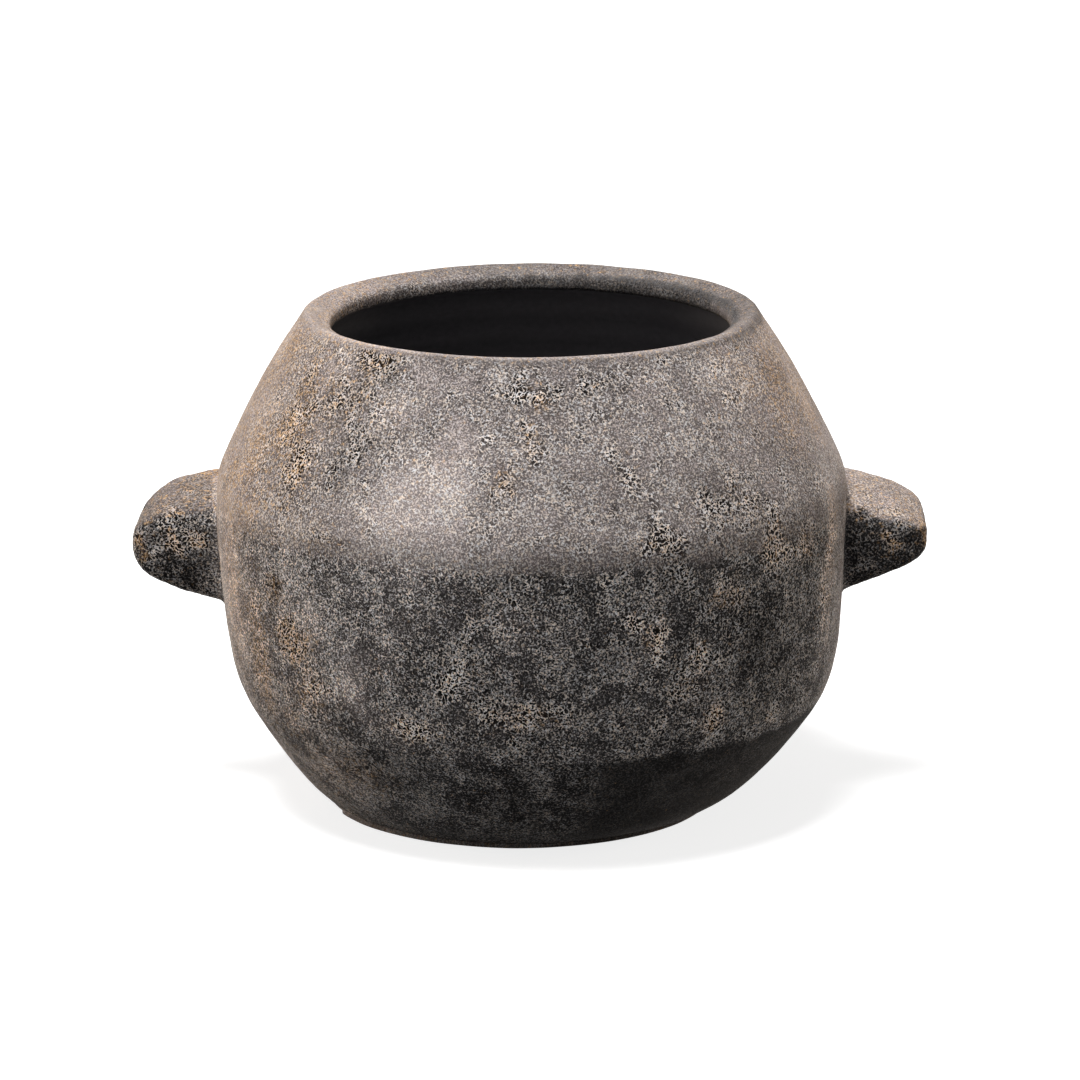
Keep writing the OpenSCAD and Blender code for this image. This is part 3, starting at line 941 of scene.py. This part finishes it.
class Graph:
    """Short names for the nodes of a material or world. Inputs are sockets or plain values."""

    def __init__(self, owner):
        owner.use_nodes = True
        self.tree = owner.node_tree
        self.tree.nodes.clear()

    def node(self, kind, settings=(), **inputs):
        made = self.tree.nodes.new(kind)
        for key, value in dict(settings).items():
            setattr(made, key, value)
        for key, value in inputs.items():
            self.feed(made.inputs[key.replace("_", " ")], value)
        return made

    def feed(self, socket, value):
        if isinstance(value, bpy.types.NodeSocket):
            self.tree.links.new(value, socket)
        else:
            socket.default_value = value

    def numbered(self, kind, inputs, **settings):
        """A node whose inputs are known by their numbers."""
        made = self.node(kind, settings)
        for number, value in inputs.items():
            self.feed(made.inputs[number], value)
        return made.outputs

    def math(self, operation, *values):
        return self.numbered("ShaderNodeMath", dict(enumerate(values)), operation=operation)[0]

    def add(self, *items):
        return functools.reduce(lambda a, b: self.math("ADD", a, b), items)

    def times(self, *items):
        return functools.reduce(lambda a, b: self.math("MULTIPLY", a, b), items)

    def greater(self, a, b):
        return self.math("MAXIMUM", a, b)

    def moved(self, at, by):
        return self.numbered("ShaderNodeVectorMath", {0: at, 1: by}, operation="ADD")[0]

    def scaled(self, at, scale):
        return self.numbered("ShaderNodeVectorMath", {0: at, 3: scale}, operation="SCALE")[0]

    def ramp(self, value, start, end, low_out=0.0, high_out=1.0):
        """Soft step from one number to another."""
        inputs = dict(enumerate((value, start, end, low_out, high_out)))
        return self.numbered("ShaderNodeMapRange", inputs, interpolation_type="SMOOTHSTEP")[0]

    def blend(self, share, a, b):
        """Plain number between two numbers."""
        return self.numbered("ShaderNodeMix", {0: share, 2: a, 3: b})[0]

    def mix(self, share, a, b, how="MIX"):
        """Colour between two colours."""
        return self.numbered("ShaderNodeMix", {0: share, 6: a, 7: b},
                             data_type="RGBA", blend_type=how)[2]

    def noise(self, at, scale, detail=2.0, roughness=0.5, out="Fac"):
        made = self.node("ShaderNodeTexNoise", {"noise_dimensions": "3D"}, Vector=at, Scale=scale,
                         Detail=detail, Roughness=roughness)
        return made.outputs[out]

    def sway(self, at, scale, detail, amount, roughness=0.5):
        """Noise about zero."""
        fac = self.noise(at, scale, detail, roughness)
        return self.times(self.math("SUBTRACT", fac, 0.5), amount)

    def lines(self, at, scale, detail, width):
        """Thin winding lines where noise passes its middle."""
        off = self.math("SUBTRACT", self.noise(at, scale, detail), 0.5)
        return self.ramp(self.math("ABSOLUTE", off), 0.0, width, 1.0, 0.0)

    def attribute(self, name):
        return self.node("ShaderNodeAttribute", {"attribute_name": name}).outputs["Fac"]

    def seen(self):
        """1 where the camera sees a surface, straight, mirrored or through glass, and 0 where
        the surface only lights other things."""
        ray = self.node("ShaderNodeLightPath").outputs
        shown = self.greater(ray["Is Camera Ray"], ray["Is Glossy Ray"])
        return self.greater(shown, ray["Is Transmission Ray"])


def wrinkles(g, at):
    """Fine wrinkles, the share of crackle that they are drawn out to, and the relief of both."""
    bend = g.moved(g.noise(at, scale=0.45, detail=1.0, out="Color"), (-0.5, -0.5, -0.5))
    wavy = g.moved(at, g.scaled(bend, 1.4))
    fine = g.ramp(g.noise(wavy, scale=1.15, detail=1.0, roughness=0.6), 0.38, 0.64)
    worms = g.lines(g.moved(wavy, (31.0, 17.0, 5.0)), scale=0.55, detail=1.3, width=0.12)
    patches = g.sway(at, scale=0.095, detail=3.0, amount=3.2, roughness=0.6)
    crackle = g.ramp(g.add(g.attribute("crackle"), patches, -0.1), 0.0, 1.0)
    relief = g.blend(g.blend(crackle, 0.42, 0.85), fine, worms)
    return fine, crackle, relief


def rubbed_bare(g, at, crackle):
    """Share of the surface where no wrinkles show. Crackle keeps them."""
    bare = g.sway(g.moved(at, (44.0, 71.0, 13.0)), scale=0.060, detail=6.0, amount=2.4,
                  roughness=0.70)
    return g.ramp(g.add(bare, g.times(crackle, -0.4)), -0.22, 0.30, 0.0, 0.9)


def brightness(g, at, patchy, fine, crackle, bare, shown, dust):
    """Brightness of the clay, from its ground, thread and plain levels."""
    mottle = g.sway(g.moved(at, (90.0, 9.0, 40.0)), scale=0.16, detail=3.0, amount=0.22,
                    roughness=0.6)
    ground = g.add(g.attribute("ground"), g.times(patchy, 0.5), g.times(mottle, 0.6),
                   g.times(crackle, -0.13))
    ground = g.greater(ground, DARKEST)
    thread = g.add(g.attribute("thread"), patchy, mottle, g.times(crackle, 0.14))
    thread = g.greater(g.times(thread, dust), g.add(ground, THREAD_STEP))
    grain = g.times(g.add(fine, -0.5), g.add(0.08, g.times(g.attribute("plain"), 0.42)))
    plain = g.greater(g.add(g.attribute("plain"), g.times(patchy, 0.7), grain), DARKEST)
    level = g.blend(shown, g.blend(bare, ground, plain), thread)
    return g.times(level, level)


def clay_tint(g, hue, shown):
    """Tint of the clay: cream on the wrinkles, greyer between them, warmer where it is rusty and
    where the ochre level carries the painted warm glow of grazing light at the sides.
    """
    warm = g.ramp(g.attribute("ochre_and_edge_glow"), 0.08, 0.6)
    dusted = g.ramp(g.attribute("plain"), 0.15, 0.48)
    cream = g.mix(g.ramp(hue, 0.35, 0.65), CREAM, CREAM_WARM)
    dusty = g.mix(warm, g.mix(dusted, CLAY_DARK, CLAY_DUSTED), CLAY_OCHRE)
    tint = g.mix(shown, dusty, g.mix(warm, cream, CREAM_OCHRE))
    drift = g.mix(g.ramp(hue, 0.32, 0.68), DRIFT_COOL, DRIFT_WARM)
    return g.mix(g.blend(warm, 0.25, 1.3), tint, drift, "MULTIPLY")


def rusted(g, at, base, hue, relief):
    """Rusty flecks on the base colour. They follow the ochre level, so they also gather where it
    carries the painted warm glow at the sides.
    """
    spread = g.sway(g.moved(at, (5.0, 60.0, 22.0)), scale=0.40, detail=2.0, amount=2.0)
    fleck = g.ramp(g.add(g.attribute("ochre_and_edge_glow"), spread), 0.28, 0.78)
    fleck = g.times(fleck, g.ramp(hue, 0.42, 0.56), g.blend(relief, 0.25, 1.0))
    return g.mix(g.times(fleck, 0.8), base, g.mix(relief, RUST_DARK, RUST_PALE))


def glaze(g, at):
    """Near-black inside, with rings where the plain level is high."""
    rings = g.add(g.times(g.noise(at, scale=0.35, detail=3.0), 0.25),
                  g.times(g.attribute("plain"), 0.85))
    return g.mix(g.greater(rings, 0.0), GLAZE_DARK, GLAZE_PALE)


def clay_material(name, dust):
    """Wrinkled clay. Dust, from 0 to 1, is how much of the pale dust is left on it."""
    material = bpy.data.materials.new(name)
    g = Graph(material)
    at = g.scaled(g.node("ShaderNodeTexCoord").outputs["Object"], 1 / MM)
    fine, crackle, relief = wrinkles(g, at)
    bare = rubbed_bare(g, at, crackle)
    shown = g.ramp(relief, g.times(bare, 0.55), g.add(1.0, g.times(bare, 0.25)))
    patchy = g.sway(at, scale=0.045, detail=4.0, amount=0.26, roughness=0.62)
    hue = g.noise(g.moved(at, (7.0, 3.0, 9.0)), scale=0.7, detail=1.0)

    bright = brightness(g, at, patchy, fine, crackle, bare, shown, dust)
    grey = g.node("ShaderNodeCombineColor", Red=bright, Green=bright, Blue=bright).outputs[0]
    base = g.mix(1.0, clay_tint(g, hue, shown), grey, "MULTIPLY")
    base = rusted(g, at, base, hue, relief)
    inside = g.add(g.attribute("inner"), g.sway(at, scale=0.12, detail=3.0, amount=0.5))
    inside = g.ramp(inside, 0.2, 0.8)
    base = g.mix(inside, base, glaze(g, at))

    height = g.add(g.times(relief, g.blend(crackle, 0.7, 1.0)),
                   g.times(g.noise(at, scale=1.6, detail=2.0), 0.35))
    height = g.times(height, g.blend(inside, 1.0, 0.12))
    bump = g.node("ShaderNodeBump", Strength=0.5, Distance=0.25 * MM, Height=height)
    rough = g.add(0.66, g.times(patchy, 0.5), g.times(relief, -0.08))
    shader = g.node("ShaderNodeBsdfPrincipled", Base_Color=base, Roughness=rough,
                    Normal=bump.outputs["Normal"], Specular_IOR_Level=0.01, Sheen_Weight=0.05,
                    Sheen_Roughness=0.35, Sheen_Tint=SHEEN_TINT)
    g.node("ShaderNodeOutputMaterial", Surface=shader.outputs["BSDF"])
    return material


clays = {name: clay_material(name, dust) for name, dust in DUST_LEFT.items()}
for piece_node, piece in pieces.items():
    piece.data.materials.append(clays[SLOTS[piece_node]])

# Floor, light and camera, in metres
FLOOR_SIDES = 64
FLOOR_RADII = (0.6, 4.5)
FLOOR_LIT = rgb(0.20, 0.20, 0.20)        # what the pot gets light from
FLOOR_SHOWN = rgb(0.6, 0.6, 0.6)         # what is seen of the floor, with its glow
GLOW_FROM, GLOW_TO = 0.8, 3.0            # distances from the pot
GLOW_NEAR, GLOW_FAR = 0.80, 1.0
WHITE = rgb(1.0, 1.0, 1.0)
WORLD_LIGHT = 0.10
SIDE_LIGHT = (1.0, 0.90, 0.78)


def floor_material():
    material = bpy.data.materials.new("pale_floor")
    g = Graph(material)
    far = g.node("ShaderNodeVectorMath", {"operation": "LENGTH"})
    g.feed(far.inputs[0], g.node("ShaderNodeTexCoord").outputs["Object"])
    strength = g.ramp(far.outputs["Value"], GLOW_FROM, GLOW_TO, GLOW_NEAR, GLOW_FAR)
    shown = g.node("ShaderNodeBsdfDiffuse", Color=FLOOR_SHOWN).outputs[0]
    glow = g.node("ShaderNodeEmission", Color=WHITE, Strength=strength).outputs[0]
    bright = g.numbered("ShaderNodeAddShader", {0: shown, 1: glow})[0]
    lit = g.node("ShaderNodeBsdfDiffuse", Color=FLOOR_LIT).outputs[0]
    mixed = g.numbered("ShaderNodeMixShader", {0: g.seen(), 1: lit, 2: bright})[0]
    g.node("ShaderNodeOutputMaterial", Surface=mixed)
    return material


def make_floor():
    turns = np.arange(FLOOR_SIDES) / FLOOR_SIDES * FULL_TURN
    verts = [[0.0, 0.0, 0.0]]
    verts += [[math.cos(a) * r, math.sin(a) * r, 0.0] for r in FLOOR_RADII for a in turns]
    faces = []
    for s in range(FLOOR_SIDES):
        t = (s + 1) % FLOOR_SIDES
        faces.append([0, 1 + s, 1 + t])
        faces.append([1 + s, 1 + FLOOR_SIDES + s, 1 + FLOOR_SIDES + t, 1 + t])
    mesh = bpy.data.meshes.new("floor")
    mesh.from_pydata(verts, [], faces)
    mesh.materials.append(floor_material())
    floor = bpy.data.objects.new("floor", mesh)
    bpy.context.scene.collection.objects.link(floor)


def make_world():
    world = bpy.data.worlds.new("studio")
    bpy.context.scene.world = world
    g = Graph(world)
    strength = g.blend(g.seen(), WORLD_LIGHT, 1.0)
    sky = g.node("ShaderNodeBackground", Color=WHITE, Strength=strength)
    g.node("ShaderNodeOutputWorld", Surface=sky.outputs[0])


def softbox(name, place, aim, size, watts, colour):
    lamp = bpy.data.lights.new(name, "AREA")
    lamp.shape = "RECTANGLE"
    lamp.size, lamp.size_y = size
    lamp.energy = watts
    lamp.color = colour
    obj = bpy.data.objects.new(name, lamp)
    obj.location = place
    obj.rotation_mode = "QUATERNION"
    obj.rotation_quaternion = (Vector(aim) - Vector(place)).to_track_quat("-Z", "Y")
    bpy.context.scene.collection.objects.link(obj)


PHOTO = 1080                             # the photo's width and height in pixels
SCALE_MM = 0.509                         # millimetres to a photo pixel at the pot's axis
ELEVATION = math.radians(15.12)
DISTANCE = 2.480
TARGET_Z = 0.12725                       # height on the axis that the camera looks at
TARGET_PIXEL = (531.5, 548.78)           # where the photo shows it
SENSOR_W = 36.0
CLIP_START, CLIP_END = 0.05, 50.0


def make_camera():
    """Camera at the photo's viewing angle and framing."""
    data = bpy.data.cameras.new("camera")
    data.sensor_width = SENSOR_W
    data.lens = DISTANCE / MM / SCALE_MM / PHOTO * SENSOR_W
    data.shift_x = (PHOTO / 2 - TARGET_PIXEL[0]) / PHOTO
    data.shift_y = (TARGET_PIXEL[1] - PHOTO / 2) / PHOTO
    data.clip_start, data.clip_end = CLIP_START, CLIP_END
    camera = bpy.data.objects.new("camera", data)
    camera.location = (0, -DISTANCE * math.cos(ELEVATION),
                       TARGET_Z + DISTANCE * math.sin(ELEVATION))
    camera.rotation_euler = (math.pi / 2 - ELEVATION, 0, 0)
    bpy.context.scene.collection.objects.link(camera)
    return camera


make_floor()
make_world()
softbox("top_light", (-0.42, -0.50, 2.7), (0, 0, 0.15), (1.1, 1.1), 108.0, WHITE[:3])
softbox("left_light", (-2.2, 0.5, 0.45), (0, 0, 0.12), (0.7, 1.3), 14.0, SIDE_LIGHT)
softbox("right_light", (2.2, 0.5, 0.45), (0, 0, 0.12), (0.7, 1.3), 12.0, SIDE_LIGHT)
bpy.context.scene.camera = make_camera()
bpy.context.scene.view_settings.view_transform = "Standard"
